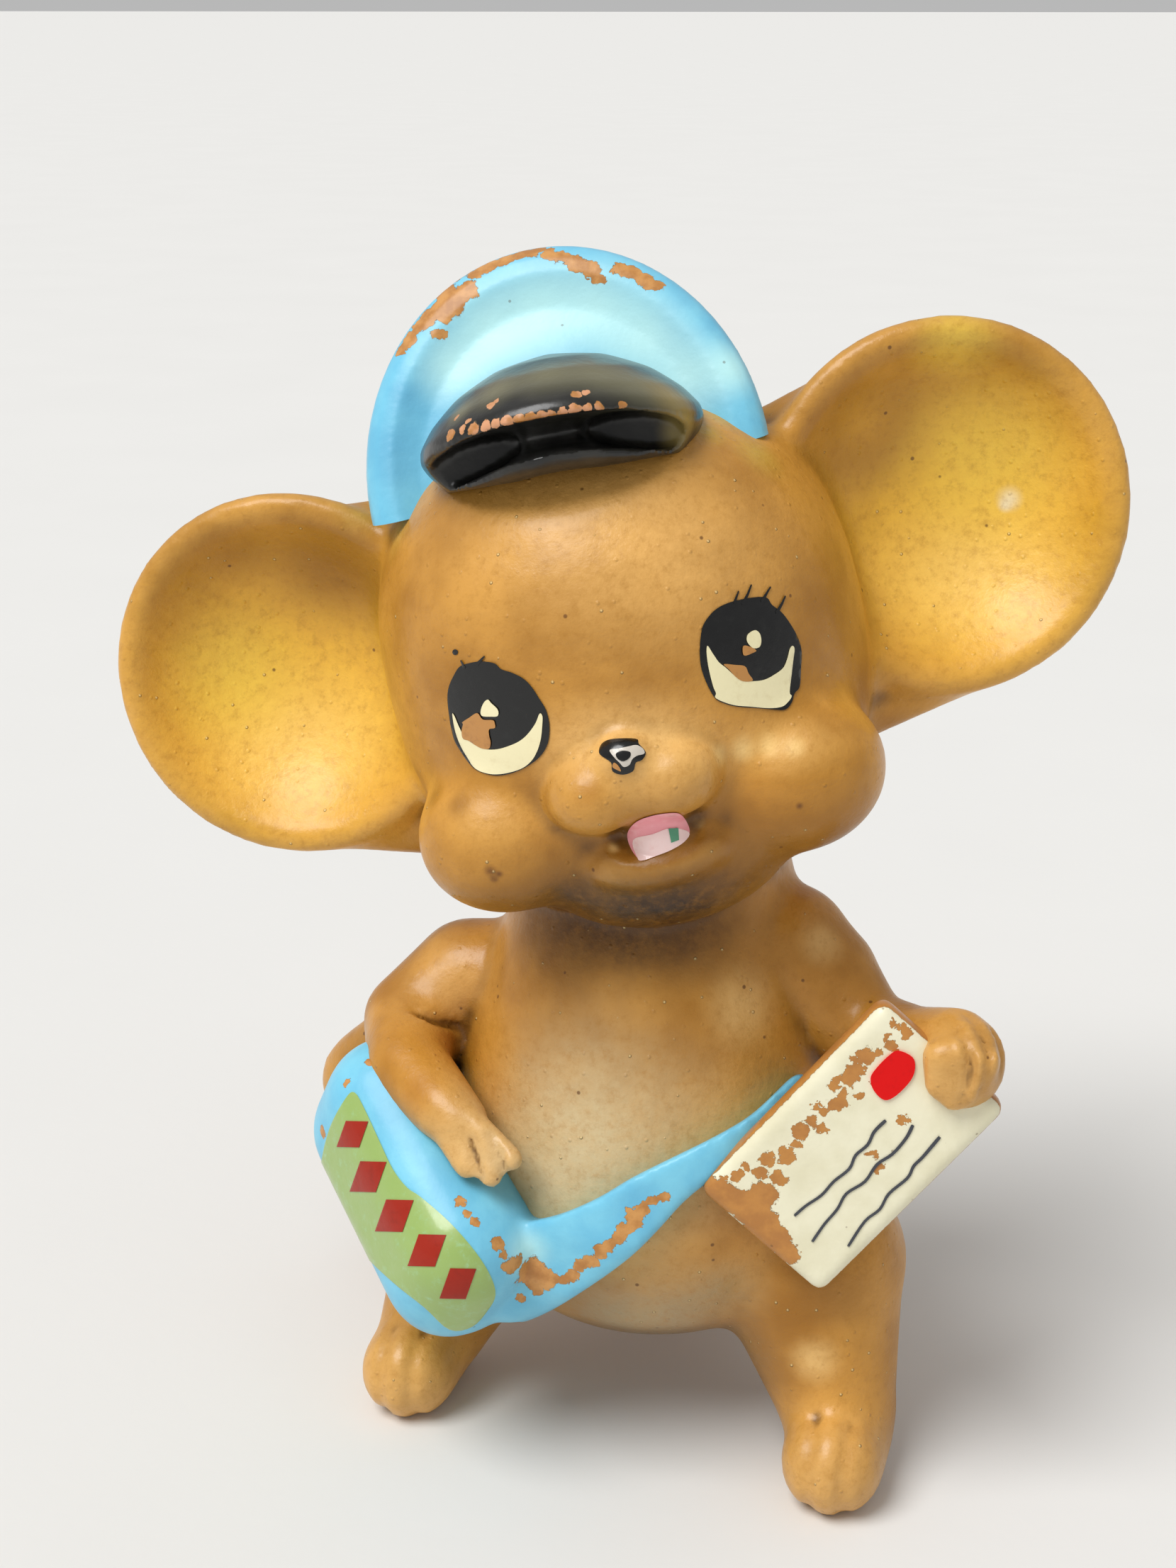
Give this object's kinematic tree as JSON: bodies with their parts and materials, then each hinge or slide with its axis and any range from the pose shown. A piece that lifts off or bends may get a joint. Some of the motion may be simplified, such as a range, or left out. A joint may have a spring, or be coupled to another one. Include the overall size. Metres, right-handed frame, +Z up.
{
  "type": "mouse figurine",
  "caption": "Hollow fired-clay mouse in a peaked cap, with a satchel, its strap and an envelope in one fist; it stands on two flat soles and its tail.",
  "frame": {"origin": "on the floor under the middle of the bounding box", "axes": "the mouse faces -Y, its own left is +X, +Z is up"},
  "size_m": [0.0652, 0.041, 0.0794],
  "materials": {
    "brown_clay": "brown airbrushed colour under a satin glaze, paler at the belly, golden in the ears",
    "blue_paint": "light blue overglaze paint, worn to tan clay on the ridges",
    "black_paint": "black overglaze paint, worn along the peak's edge",
    "cream_paint": "cream overglaze paint, chipped along one edge"
  },
  "bodies": {
    "root": {"head": "brown_clay", "torso": "brown_clay", "ear_left": "brown_clay", "ear_right": "brown_clay", "cap_crown": "blue_paint", "cap_peak": "black_paint", "arm_left": "brown_clay", "arm_right": "brown_clay", "leg_left": "brown_clay", "leg_right": "brown_clay", "tail": "brown_clay", "satchel": "blue_paint", "strap": "blue_paint", "envelope": "cream_paint"}
  },
  "joints": []
}
